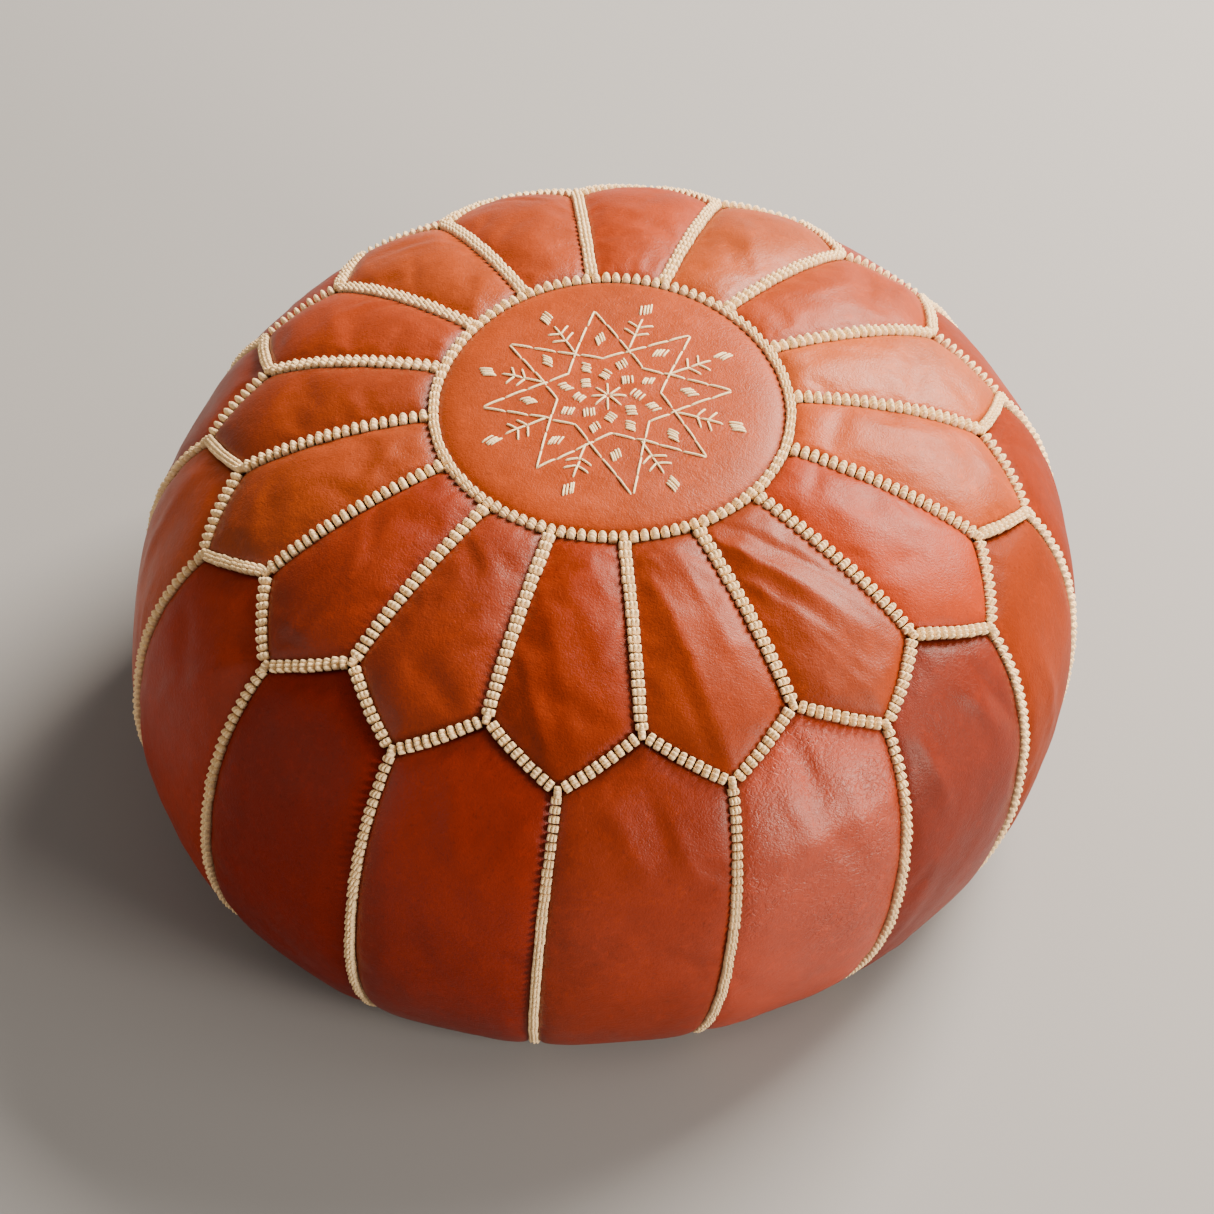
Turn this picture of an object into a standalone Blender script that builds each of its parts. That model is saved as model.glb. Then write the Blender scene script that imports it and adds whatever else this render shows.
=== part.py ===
"""Round Moroccan leather pouf: an embroidered medallion, a crown of top panels,
a skirt of side panels, cream braids over the seams, a zipped base and a filling.

Metres, +Z up. The origin is on the floor under the middle of the pouf.
A place on the skin is given by its angle round Z and its run, which is the
distance along the outline from the middle of the crown, over the side and in
under the base. Lift is the height above the skin, measured outwards.
"""

import math

import bmesh
import bpy
import numpy as np
from mathutils import Matrix, Vector

# Body outline: two superellipses that meet at the widest circle.
HEIGHT = 0.270
WIDEST_RADIUS = 0.270
WIDEST_HEIGHT = 0.102
FOOT_RADIUS = 0.219
UPPER_POWERS = (2.74, 2.61)
LOWER_POWER = 1.80
SKIN_STEP = 0.002

# Seams: radial ones over the crown, a zigzag round the shoulder, side ones below.
SEAM_COUNT = 16
FIRST_SEAM_ANGLE = math.radians(95.7)
MEDALLION_RADIUS = 0.0995
PEAK_RADIUS = 0.209
VALLEY_RADIUS = 0.2335
BASE_RADIUS = 0.165
BODY_TWIST = math.radians(-4.0)

# Leather, which dips at every seam.
LEATHER = 0.0020
SEAM_DIP = 0.0050
SEAM_GAP = 0.0006
DIP_WIDTH = 0.012
TOP_ROWS = 4
SIDE_ROWS = 8
BASE_COLUMNS = 10
ROUND_SIDES = 32
MEDALLION_INNER_SHARE = 0.45

# Braids, which lie in the dips.
BRAID_WIDTH = 0.0072
RING_BRAID_WIDTH = 0.0086
BRAID_THICKNESS = 0.0026
BRAID_LIFTS = (0.0008, 0.0016, 0.0008)
BRAID_UNDER_LIFT = -0.0004
END_GAP = 0.0004
RADIAL_ROWS = 8
LEG_ROWS = 12
LEG_START = 0.09

# Embroidered star on the medallion.
STAR_POINTS = 8
STAR_FIRST_ANGLE = math.radians(7.0)
STAR_TIP_RADIUS = 0.068
STAR_NOTCH_RADIUS = 0.033
THREAD_WIDTH = 0.0016
THREAD_THICKNESS = 0.0006
THREAD_GAP = 0.0003

# Filling, a plain body inside the leather.
FILLING_DEPTH = 0.0110
FILLING_FLOOR = 0.0130
FILLING_FIRST_RUN = 0.020
FILLING_ROWS = 14

# Zip across the base, closed, with its slider at the +X end.
ZIP_HALF_LENGTH = 0.157
ZIP_WINDOW = 0.007
ZIP_DIP = 0.0040
ZIP_OVERLAP = 0.002
TAPE_OUTER = 0.014
TAPE_LOW = 0.0063
TAPE_HIGH = 0.0068
TEETH_INNER = 0.0008
TEETH_OUTER = 0.0026
TEETH_LOW = 0.0055
TEETH_HIGH = 0.0076

SLIDER_X = 0.130
SLIDER_LENGTH = 0.009
SLIDER_HALF_WIDTH = 0.0045
SLIDER_PLATE = 0.0009
SLIDER_LOW = 0.0042
SLIDER_HIGH = 0.0089
SLIDER_POST = 0.00035
EAR_INNER = 0.0023
EAR_OUTER = 0.0033
EAR_LOW = 0.0014
EAR_LENGTH = 0.0024
EAR_BITE = 0.0002

PIN_HEIGHT = 0.0023
PIN_RADIUS = 0.0006
EYE_RADIUS = 0.0015
EYE_HOLE_RADIUS = 0.0009
PULL_HALF_WIDTH = 0.0019
PULL_LENGTH = 0.022
PULL_THICKNESS = 0.0010
EYE_POINTS = 15
HOLE_SIDES = 12

PITCH = 2 * math.pi / SEAM_COUNT


# ---------------------------------------------------------------- the outline

def outline():
    """Radius and height of points from the crown's middle to the base's middle."""
    turn = np.linspace(0, math.pi / 2, 400)
    sine = np.sin(turn)
    cosine = np.maximum(np.cos(turn), 0)
    upper_r = WIDEST_RADIUS * sine ** (2 / UPPER_POWERS[0])
    upper_z = WIDEST_HEIGHT + (HEIGHT - WIDEST_HEIGHT) * cosine ** (2 / UPPER_POWERS[1])
    lower_r = FOOT_RADIUS + (WIDEST_RADIUS - FOOT_RADIUS) * cosine ** (2 / LOWER_POWER)
    lower_z = WIDEST_HEIGHT * (1 - sine ** (2 / LOWER_POWER))
    flat_r = np.linspace(FOOT_RADIUS, 0, 60)
    radius = np.concatenate([upper_r, lower_r[1:], flat_r[1:]])
    height = np.concatenate([upper_z, lower_z[1:], np.zeros(59)])
    return radius, height


OUTLINE_R, OUTLINE_Z = outline()
OUTLINE_RUN = np.concatenate(
    [[0], np.cumsum(np.hypot(np.diff(OUTLINE_R), np.diff(OUTLINE_Z)))]
)


def run_at_radius(radius):
    """The run at which the upper outline has this radius."""
    widest = int(np.argmax(OUTLINE_R))
    return float(np.interp(radius, OUTLINE_R[:widest], OUTLINE_RUN[:widest]))


RING_RUN = run_at_radius(MEDALLION_RADIUS)
PEAK_RUN = run_at_radius(PEAK_RADIUS)
VALLEY_RUN = run_at_radius(VALLEY_RADIUS)
BASE_RUN = float(OUTLINE_RUN[-1]) - BASE_RADIUS
FOOT_RUN = float(OUTLINE_RUN[-1]) - FOOT_RADIUS
ZIGZAG_SLOPE = math.atan2(VALLEY_RUN - PEAK_RUN, PITCH / 2 * (PEAK_RADIUS + VALLEY_RADIUS) / 2)


def skin(angle, run, lift=0.0):
    """The point at this angle and run, lift above the skin."""
    behind, here, ahead = np.clip(
        [run - SKIN_STEP, run, run + SKIN_STEP], 0, OUTLINE_RUN[-1]
    )
    radii = np.interp([behind, here, ahead], OUTLINE_RUN, OUTLINE_R)
    heights = np.interp([behind, here, ahead], OUTLINE_RUN, OUTLINE_Z)
    radius = radii[1]
    height = heights[1]
    slope_r = radii[2] - radii[0]
    slope_z = heights[2] - heights[0]
    length = math.hypot(slope_r, slope_z)
    radius -= lift * slope_z / length
    height += lift * slope_r / length
    return Vector((radius * math.cos(angle), radius * math.sin(angle), height))


def twist(run):
    """How far the side seams have turned from their valleys at this run."""
    share = (run - VALLEY_RUN) / (FOOT_RUN - VALLEY_RUN)
    return BODY_TWIST * min(max(share, 0.0), 1.0)


def seam_angle(index):
    """Angle of a radial seam; a half index gives the valley between two seams."""
    return FIRST_SEAM_ANGLE + PITCH * index


def zigzag_run(offset):
    """Run of the zigzag seam at this offset from a radial seam, in pitches."""
    return PEAK_RUN + (VALLEY_RUN - PEAK_RUN) * 2 * abs(offset)


# ------------------------------------------------------------------ mesh tools

def material(name, colour, roughness, metallic=0.0):
    made = bpy.data.materials.new(name)
    made.use_nodes = True
    shader = made.node_tree.nodes["Principled BSDF"]
    shader.inputs["Base Color"].default_value = (*colour, 1.0)
    shader.inputs["Roughness"].default_value = roughness
    shader.inputs["Metallic"].default_value = metallic
    made.diffuse_color = (*colour, 1.0)
    return made


def add_object(name, mesh, surface, parent=None):
    made = bpy.data.objects.new(name, mesh)
    mesh.materials.append(surface)
    mesh.shade_smooth()
    mesh.set_sharp_from_angle(angle=math.radians(40))
    bpy.context.scene.collection.objects.link(made)
    if parent is not None:
        made.parent = parent
        made.matrix_parent_inverse = Matrix.Translation(-parent.location)
    return made


def thicken(made, thickness):
    """Give a sheet its thickness, inwards from its outer face."""
    solidify = made.modifiers.new("Thickness", "SOLIDIFY")
    solidify.thickness = thickness
    solidify.offset = -1.0
    return made


def sheet(name, points, faces, thickness, surface):
    """A closed leather or braid piece from its outer face."""
    mesh = bpy.data.meshes.new(name)
    mesh.from_pydata(points, [], faces)
    return thicken(add_object(name, mesh, surface), thickness)


def grid_faces(columns, rows, wrap=False):
    """Faces of a grid stored column by column, wound so that they face out."""
    faces = []
    for column in range(columns if wrap else columns - 1):
        after = (column + 1) % columns
        for row in range(rows - 1):
            left = column * rows + row
            right = after * rows + row
            faces.append((left, left + 1, right + 1, right))
    return faces


def stations(length, count):
    """Shares of a length: both ends, the lines where the dips start, and even steps."""
    edge = DIP_WIDTH / length
    inner = np.linspace(edge, 1 - edge, count)
    return [0.0, *inner.tolist(), 1.0]


def extruded(name, section, start, end, axis, surface, parent=None):
    """A section of two coordinates, stretched from start to end along X or Y."""
    mesh = bpy.data.meshes.new(name)
    work = bmesh.new()
    rings = []
    for along in (start, end):
        if axis == "X":
            ring = [work.verts.new((along, first, second)) for first, second in section]
        else:
            ring = [work.verts.new((first, along, second)) for first, second in section]
        rings.append(ring)
    work.faces.new(rings[0])
    work.faces.new(rings[1])
    for index, corner in enumerate(rings[0]):
        after = (index + 1) % len(section)
        work.faces.new((corner, rings[0][after], rings[1][after], rings[1][index]))
    bmesh.ops.recalc_face_normals(work, faces=work.faces)
    work.to_mesh(mesh)
    work.free()
    return add_object(name, mesh, surface, parent)


def rectangle(low, high):
    return [low, (high[0], low[1]), high, (low[0], high[1])]


def combine(target, tool, operation):
    """Join a hidden tool to the target, or cut it out."""
    tool.hide_render = True
    tool.display_type = "WIRE"
    boolean = target.modifiers.new(operation.title(), "BOOLEAN")
    boolean.operation = operation
    boolean.solver = "EXACT"
    boolean.object = tool


# --------------------------------------------------------------------- leather

def leather_panel(name, middle, start_run, end_run, length, row_count, surface):
    """A panel between two seams. Both runs are functions of the offset from its
    middle in pitches; the panel dips where it meets its seams."""
    width = PITCH * (VALLEY_RADIUS + PEAK_RADIUS) / 2
    edge = DIP_WIDTH / width
    columns = [0.0, edge, 0.5, 1 - edge, 1.0]
    rows = stations(length, row_count)
    points = []
    for column in columns:
        offset = column - 0.5
        start = start_run(offset)
        end = end_run(offset)
        for row in rows:
            run = start + (end - start) * row
            radius = float(np.interp(run, OUTLINE_RUN, OUTLINE_R))
            inset = SEAM_GAP * -2 * offset / radius
            on_edge = column in (0.0, 1.0) or row in (0.0, 1.0)
            lift = -SEAM_DIP if on_edge else 0.0
            points.append(skin(middle + PITCH * offset + inset + twist(run), run, lift))
    faces = grid_faces(len(columns), len(rows))
    return sheet(name, points, faces, LEATHER, surface)


def medallion(surface):
    """The round panel in the middle of the crown, which dips at its rim."""
    runs = [RING_RUN * MEDALLION_INNER_SHARE, RING_RUN - DIP_WIDTH, RING_RUN - SEAM_GAP]
    lifts = [0.0, 0.0, -SEAM_DIP]
    points = []
    for side in range(ROUND_SIDES):
        angle = 2 * math.pi * side / ROUND_SIDES
        points += [skin(angle, run, lift) for run, lift in zip(runs, lifts)]
    faces = grid_faces(ROUND_SIDES, len(runs), wrap=True)
    centre = len(points)
    points.append(Vector((0, 0, HEIGHT)))
    for side in range(ROUND_SIDES):
        after = (side + 1) % ROUND_SIDES
        faces.append((centre, side * len(runs), after * len(runs)))
    return sheet("medallion", points, faces, LEATHER, surface)


def top_panels(surface):
    for index in range(SEAM_COUNT):
        leather_panel(
            f"top_panel_{index + 1:02d}",
            seam_angle(index + 0.5),
            lambda offset: RING_RUN + SEAM_GAP,
            lambda offset: zigzag_run(0.5 - abs(offset)) - SEAM_GAP / math.cos(ZIGZAG_SLOPE),
            (PEAK_RUN + VALLEY_RUN) / 2 - RING_RUN,
            TOP_ROWS,
            surface,
        )


def side_panels(surface):
    for index in range(SEAM_COUNT):
        leather_panel(
            f"side_panel_{index + 1:02d}",
            seam_angle(index),
            lambda offset: zigzag_run(offset) + SEAM_GAP / math.cos(ZIGZAG_SLOPE),
            lambda offset: BASE_RUN - SEAM_GAP,
            BASE_RUN - VALLEY_RUN,
            SIDE_ROWS,
            surface,
        )


def base_panel(name, side, surface):
    """Half of the base disc, on the +Y side for side 1 and the -Y side for -1."""
    first_arc_angle = math.asin((ZIP_WINDOW + DIP_WIDTH) / BASE_RADIUS)
    arc_radius = BASE_RADIUS - SEAM_GAP
    zip_end = arc_radius * math.cos(first_arc_angle) + ZIP_OVERLAP
    edge = DIP_WIDTH / BASE_RADIUS
    middle = np.linspace(2 * edge, 1 - 2 * edge, BASE_COLUMNS).tolist()
    shares = [0.0, edge / 2, *middle, 1 - edge / 2, 1.0]
    rows = [0.0, edge, 0.5, 1 - edge, 1.0]
    points = []
    for share in shares:
        angle = math.pi - first_arc_angle - (math.pi - 2 * first_arc_angle) * share
        arc = Vector((arc_radius * math.cos(angle), side * arc_radius * math.sin(angle), 0))
        straight = Vector((zip_end * (2 * share - 1), side * ZIP_WINDOW, 0))
        for row in rows:
            place = straight.lerp(arc, row)
            from_arc = (arc_radius - place.length) / DIP_WIDTH
            from_zip = (abs(place.y) - ZIP_WINDOW) / DIP_WIDTH
            place.z = max(SEAM_DIP * (1 - from_arc), ZIP_DIP * (1 - from_zip), 0.0)
            points.append(place)
    faces = grid_faces(len(shares), len(rows))
    if side < 0:
        faces = [tuple(reversed(face)) for face in faces]
    return sheet(name, points, faces, LEATHER, surface)


# ---------------------------------------------------------------------- braids

def braid_lifts(run):
    """Lifts across a braid, which is pressed flat where it passes under the body."""
    if run > (VALLEY_RUN + 3 * FOOT_RUN) / 4:
        return (BRAID_UNDER_LIFT,) * 3
    return BRAID_LIFTS


def round_braid(name, run, width, surface):
    """A closed braid round the pouf at one run."""
    sides = 4 * SEAM_COUNT
    points = []
    for side in range(sides):
        angle = 2 * math.pi * side / sides
        for across, lift in zip((-0.5, 0.0, 0.5), braid_lifts(run)):
            points.append(skin(angle, run + width * across, lift))
    return sheet(name, points, grid_faces(sides, 3, wrap=True), BRAID_THICKNESS, surface)


def radial_braids(surface):
    """One braid over each radial seam, from the ring braid to a peak of the zigzag."""
    zigzag_half = BRAID_WIDTH / 2 / math.cos(ZIGZAG_SLOPE)
    start = RING_RUN + RING_BRAID_WIDTH / 2 + END_GAP
    end = PEAK_RUN - zigzag_half - END_GAP
    runs = np.linspace(start, end, RADIAL_ROWS)
    for index in range(SEAM_COUNT):
        points = []
        for across, lift in zip((-0.5, 0.0, 0.5), BRAID_LIFTS):
            for run in runs:
                radius = float(np.interp(run, OUTLINE_RUN, OUTLINE_R))
                angle = seam_angle(index) + BRAID_WIDTH * across / radius
                points.append(skin(angle, run, lift))
        faces = grid_faces(3, len(runs))
        sheet(f"radial_braid_{index + 1:02d}", points, faces, BRAID_THICKNESS, surface)


def skirt_braid(surface):
    """The zigzag braid and the side braids that hang from its valleys, in one piece."""
    half = BRAID_WIDTH / 2
    zigzag_half = half / math.cos(ZIGZAG_SLOPE)
    leg = half / VALLEY_RADIUS / PITCH
    offsets = [-0.25, 0.0, 0.25, 0.5 - leg, 0.5, 0.5 + leg]
    end = BASE_RUN - half - END_GAP
    leg_runs = VALLEY_RUN + (end - VALLEY_RUN) * np.linspace(LEG_START, 1, LEG_ROWS)
    points = []
    for index in range(SEAM_COUNT):
        for offset in offsets:
            folded = offset if offset <= 0.5 else 1 - offset
            run = zigzag_run(folded)
            for across, lift in zip((-1, 0, 1), BRAID_LIFTS):
                points.append(skin(seam_angle(index + offset), run + zigzag_half * across, lift))
    faces = grid_faces(SEAM_COUNT * len(offsets), 3, wrap=True)
    for index in range(SEAM_COUNT):
        column = index * len(offsets) + 3
        above = [3 * (column + side) + 2 for side in range(3)]
        for run in leg_runs:
            here = []
            radius = float(np.interp(run, OUTLINE_RUN, OUTLINE_R))
            for across, lift in zip((-1, 0, 1), braid_lifts(run)):
                angle = seam_angle(index + 0.5) + half * across / radius + twist(run)
                here.append(len(points))
                points.append(skin(angle, run, lift))
            for side in range(2):
                faces.append((above[side], here[side], here[side + 1], above[side + 1]))
            above = here
    return sheet("skirt_braid", points, faces, BRAID_THICKNESS, surface)


def embroidered_star(surface):
    """The outline of the star on the medallion, as one flat thread."""
    half_step = math.pi / STAR_POINTS
    tip = Vector((STAR_TIP_RADIUS, 0))
    notch = STAR_NOTCH_RADIUS * Vector((math.cos(half_step), math.sin(half_step)))
    along = (notch - tip).normalized()
    lift = THREAD_GAP + THREAD_THICKNESS
    points = []
    for corner in range(2 * STAR_POINTS):
        place = notch if corner % 2 else tip
        spread = THREAD_WIDTH / 2 / abs(along.cross(place.normalized()))
        angle = STAR_FIRST_ANGLE + half_step * corner
        for across in (-1, 1):
            points.append(skin(angle, place.length + spread * across, lift))
    faces = grid_faces(2 * STAR_POINTS, 2, wrap=True)
    return sheet("embroidered_star", points, faces, THREAD_THICKNESS, surface)


# --------------------------------------------------------------------- filling

def filling(surface):
    """The stuffing, turned from the outline, with its underside above the zip."""
    runs = np.linspace(FILLING_FIRST_RUN, BASE_RUN, FILLING_ROWS)
    mesh = bpy.data.meshes.new("filling")
    work = bmesh.new()
    rings = []
    for run in runs:
        ring = []
        for side in range(ROUND_SIDES):
            place = skin(2 * math.pi * side / ROUND_SIDES, run, -FILLING_DEPTH)
            place.z = max(place.z, FILLING_FLOOR)
            ring.append(work.verts.new(place))
        rings.append(ring)
    for above, below in zip(rings, rings[1:]):
        for side, corner in enumerate(above):
            after = (side + 1) % ROUND_SIDES
            work.faces.new((corner, below[side], below[after], above[after]))
    work.faces.new(rings[0])
    work.faces.new(list(reversed(rings[-1])))
    bmesh.ops.recalc_face_normals(work, faces=work.faces)
    work.to_mesh(mesh)
    work.free()
    return add_object("filling", mesh, surface)


# ------------------------------------------------------------------------- zip

def zip_half(name, side, surface):
    """A tape with its row of teeth along the inner edge, as one T-shaped strip."""
    section = [
        (TEETH_INNER, TEETH_LOW),
        (TEETH_OUTER, TEETH_LOW),
        (TEETH_OUTER, TAPE_LOW),
        (TAPE_OUTER, TAPE_LOW),
        (TAPE_OUTER, TAPE_HIGH),
        (TEETH_OUTER, TAPE_HIGH),
        (TEETH_OUTER, TEETH_HIGH),
        (TEETH_INNER, TEETH_HIGH),
    ]
    section = [(side * across, height) for across, height in section]
    return extruded(name, section, -ZIP_HALF_LENGTH, ZIP_HALF_LENGTH, "X", surface)


def zip_slider(surface, origin):
    """Two plates joined by a post, and the ears and pin that hold the pull."""
    wide = SLIDER_HALF_WIDTH
    inner_low = SLIDER_LOW + SLIDER_PLATE
    inner_high = SLIDER_HIGH - SLIDER_PLATE
    section = [
        (-wide, SLIDER_LOW),
        (wide, SLIDER_LOW),
        (wide, inner_low),
        (SLIDER_POST, inner_low),
        (SLIDER_POST, inner_high),
        (wide, inner_high),
        (wide, SLIDER_HIGH),
        (-wide, SLIDER_HIGH),
        (-wide, inner_high),
        (-SLIDER_POST, inner_high),
        (-SLIDER_POST, inner_low),
        (-wide, inner_low),
    ]
    start = SLIDER_X - SLIDER_LENGTH / 2
    slider = extruded("zip_slider", section, start, start + SLIDER_LENGTH, "X", surface, origin)
    ear_section = rectangle(
        (SLIDER_X - EAR_LENGTH / 2, EAR_LOW),
        (SLIDER_X + EAR_LENGTH / 2, inner_low - EAR_BITE),
    )
    for side in (-1, 1):
        ends = sorted((side * EAR_INNER, side * EAR_OUTER))
        combine(slider, extruded(f"ear_{side}", ear_section, *ends, "Y", surface), "UNION")
    pin_section = circle((SLIDER_X, PIN_HEIGHT), PIN_RADIUS, HOLE_SIDES)
    middle = (EAR_INNER + EAR_OUTER) / 2
    combine(slider, extruded("pin", pin_section, -middle, middle, "Y", surface), "UNION")
    return slider


def circle(centre, radius, sides):
    turns = [2 * math.pi * (side + 0.5) / sides for side in range(sides)]
    return [
        (centre[0] + radius * math.cos(turn), centre[1] + radius * math.sin(turn)) for turn in turns
    ]


def zip_pull(surface, origin):
    """A flat tab that hangs from the slider's pin by its eye and points to -X."""
    half = PULL_THICKNESS / 2
    open_angle = math.asin(half / EYE_RADIUS)
    turns = np.linspace(-math.pi + open_angle, math.pi - open_angle, EYE_POINTS)
    section = [
        (SLIDER_X + EYE_RADIUS * math.cos(turn), PIN_HEIGHT + EYE_RADIUS * math.sin(turn))
        for turn in turns
    ]
    section += [
        (SLIDER_X - PULL_LENGTH, PIN_HEIGHT + half),
        (SLIDER_X - PULL_LENGTH, PIN_HEIGHT - half),
    ]
    pull = extruded("zip_pull", section, -PULL_HALF_WIDTH, PULL_HALF_WIDTH, "Y", surface, origin)
    hole = circle((SLIDER_X, PIN_HEIGHT), EYE_HOLE_RADIUS, HOLE_SIDES)
    reach = 2 * PULL_HALF_WIDTH
    combine(pull, extruded("eye_hole", hole, -reach, reach, "Y", surface), "DIFFERENCE")
    return pull


def add_empty(name, place):
    empty = bpy.data.objects.new(name, None)
    empty.location = place
    bpy.context.scene.collection.objects.link(empty)
    return empty


# ------------------------------------------------------------------- the pouf

def main():
    for old in list(bpy.data.objects):
        bpy.data.objects.remove(old)

    top_leather = material("top_leather", (0.47, 0.125, 0.040), 0.42)
    side_leather = material("side_leather", (0.36, 0.085, 0.028), 0.42)
    base_leather = material("base_leather", (0.40, 0.105, 0.035), 0.50)
    cream_braid = material("cream_braid", (0.78, 0.65, 0.44), 0.80)
    cream_thread = material("cream_thread", (0.80, 0.68, 0.46), 0.70)
    zip_fabric = material("zip_fabric", (0.25, 0.08, 0.035), 0.85)
    brass = material("brass", (0.72, 0.50, 0.22), 0.35, 1.0)
    stuffing = material("stuffing", (0.80, 0.77, 0.70), 0.95)

    medallion(top_leather)
    top_panels(top_leather)
    side_panels(side_leather)
    base_panel("base_panel_back", 1, base_leather)
    base_panel("base_panel_front", -1, base_leather)

    round_braid("ring_braid", RING_RUN, RING_BRAID_WIDTH, cream_braid)
    radial_braids(cream_braid)
    skirt_braid(cream_braid)
    round_braid("base_braid", BASE_RUN, BRAID_WIDTH, cream_braid)
    embroidered_star(cream_thread)
    filling(stuffing)

    zip_half("zip_tape_back", 1, zip_fabric)
    zip_half("zip_tape_front", -1, zip_fabric)
    slide_origin = add_empty("slider_origin", (SLIDER_X, 0, (SLIDER_LOW + SLIDER_HIGH) / 2))
    pull_origin = add_empty("pull_origin", (SLIDER_X, 0, PIN_HEIGHT))
    zip_slider(brass, slide_origin)
    zip_pull(brass, pull_origin)


main()
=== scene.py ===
"""Looks of the leather pouf: leather panels, knotted braids, embroidery and the zip,
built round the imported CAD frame.

A place on the body is given by its angle round Z and its run, the distance along the
outline from the middle of the crown. Lift is the height above the skin."""

import math
import random

import bpy
import numpy as np
from mathutils import Matrix, Vector


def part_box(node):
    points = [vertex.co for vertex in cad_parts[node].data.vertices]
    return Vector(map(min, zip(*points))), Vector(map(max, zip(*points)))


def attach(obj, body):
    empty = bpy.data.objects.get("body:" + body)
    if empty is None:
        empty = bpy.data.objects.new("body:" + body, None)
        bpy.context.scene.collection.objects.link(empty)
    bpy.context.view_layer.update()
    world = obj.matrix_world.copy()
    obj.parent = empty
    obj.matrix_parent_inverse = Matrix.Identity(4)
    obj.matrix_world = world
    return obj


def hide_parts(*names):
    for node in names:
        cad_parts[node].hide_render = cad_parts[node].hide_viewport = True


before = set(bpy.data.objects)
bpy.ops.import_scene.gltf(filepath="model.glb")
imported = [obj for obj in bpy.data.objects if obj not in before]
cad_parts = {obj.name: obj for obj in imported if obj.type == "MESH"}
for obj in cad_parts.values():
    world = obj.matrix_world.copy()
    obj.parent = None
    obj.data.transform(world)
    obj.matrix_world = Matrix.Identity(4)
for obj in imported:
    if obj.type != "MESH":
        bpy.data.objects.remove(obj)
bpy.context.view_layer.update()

# ------------------------------------------------------------------- dimensions

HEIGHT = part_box("medallion")[1][2]
BRAID_WIDTH = 0.0072
SEAM_GAP = 0.0006
MEDALLION_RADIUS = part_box("medallion")[1][0] + SEAM_GAP
BASE_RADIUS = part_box("base_braid")[1][0] - BRAID_WIDTH / 2

# Body outline, as shares of the height and of the medallion's radius.
WIDEST_RADIUS = HEIGHT
WIDEST_HEIGHT = 0.378 * HEIGHT
FOOT_RADIUS = 0.811 * HEIGHT
UPPER_POWERS = (2.74, 2.61)
LOWER_POWER = 1.80
PEAK_RADIUS = 2.10 * MEDALLION_RADIUS
VALLEY_RADIUS = 2.35 * MEDALLION_RADIUS

SEAM_COUNT = 16
PITCH = 2 * math.pi / SEAM_COUNT
FIRST_SEAM_ANGLE = math.radians(95.7)

# How the stuffing has settled: shares of the radius, at the top and added lower down.
LEAN_TOP = 0.026
OVAL_TOP = -0.017
THREE_SIDED_TOP = -0.012
LEAN_LOW = (-0.048, -0.018)
OVAL_LOW = (0.008, 0.029)
TOP_SHIFT = (-0.0017, 0.0012)
SIDE_LEAN = math.radians(-4.3)
SIDE_LEAN_SWAY = (math.radians(-4.0), math.radians(-0.9))

# Leather: how it turns in at the seams, and how it bulges between them.
LEATHER = 0.0016
SEAM_DIP = 0.0034
DIP_REACH = 0.0030
HOLLOW_DIP = 0.0018
HOLLOW_REACH = 0.0125
# Painted shade darkens the leather within about this reach of a seam; the same seam mask holds the cloth
# at the seams.
SEAM_SHADE_REACH = 0.0034
TOP_BULGE = 0.0012
SIDE_BULGE = -0.0026
FLOOR_GAP = 0.0002
PLEAT_LENGTH = (0.012, 0.030)
PLEAT_HEIGHT = (0.0001, 0.0005)
CRINKLE_HEIGHT = (0.0003, 0.0010)

# Folds drawn by chance on each panel, besides those listed.
TOP_PLEATS = 4
TOP_CRINKLES = 6
SIDE_CRINKLES = 10
MEDALLION_CRINKLES = 22
BASE_CRINKLES = 18

# Points across and along each kind of panel, or round and outwards where it is round.
TOP_GRID = (27, 33)
SIDE_GRID = (29, 61)
MEDALLION_GRID = (96, 30)
BASE_GRID = (81, 41)
STUFFING_GRID = (96, 60)

# Stuffing: how deep it lies under the skin and above the floor, and its lumps.
STUFFING_LIFT = -0.0115
STUFFING_FLOOR = 0.0125
LUMP_COUNT = 12
LUMP_HEIGHT = 0.0020
LOW_LUMP_HEIGHT = 0.0015

# Braids: width and height of their knots, and how far apart these are at both ends. Past
# KNIT_FROM, a share of its length, a side braid's knots run into each other.
KNOT_GRID = (6, 8)
CORD_GROOVE = 0.72
OUTER_CORD_HEIGHT = 0.92
OUTER_CORD_SHORTENING = 0.24
KNOT_END_FALL = 0.97
RING_KNOTS = (0.0056, 0.0056)
RADIAL_KNOTS = (0.0069, 0.0053)
ZIGZAG_KNOTS = (0.0065, 0.0055)
SIDE_KNOTS = (0.0055, 0.0052)
BASE_KNOTS = (0.0062, 0.0052)
KNOT_LIFT = -0.0038
PRESSED_DEPTH = 0.0026
RING_SPACING = (0.0056, 0.0056)
RADIAL_SPACING = (0.0056, 0.0046)
ZIGZAG_SPACING = (0.0047, 0.0047)
SIDE_SPACING = (0.0051, 0.0044)
BASE_SPACING = (0.0046, 0.0046)
KNIT_FROM = 0.30

# Embroidery: radii are shares of the medallion's radius.
STAR_POINTS = 8
STAR_TURN = math.radians(6)
THREAD_RADIUS = 0.00062
THREAD_SIDES = 8
THREAD_RINGS = 9
STITCH_SLIP = 0.004
TIP_SLIPS = np.array(
    [(0, 0), (0.02, -0.03), (-0.01, 0), (-0.04, 0), (-0.03, -0.02), (0.05, -0.03), (0.07, -0.05), (0, 0)]
)

# Cloth run that lets the stuffing push the leather out between its seams.
CLOTH_FRAMES = 20
CLOTH_PRESSURE = 3.0
CLOTH_GROWTH = 0.006
CLOTH_REACH = 0.005

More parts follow.
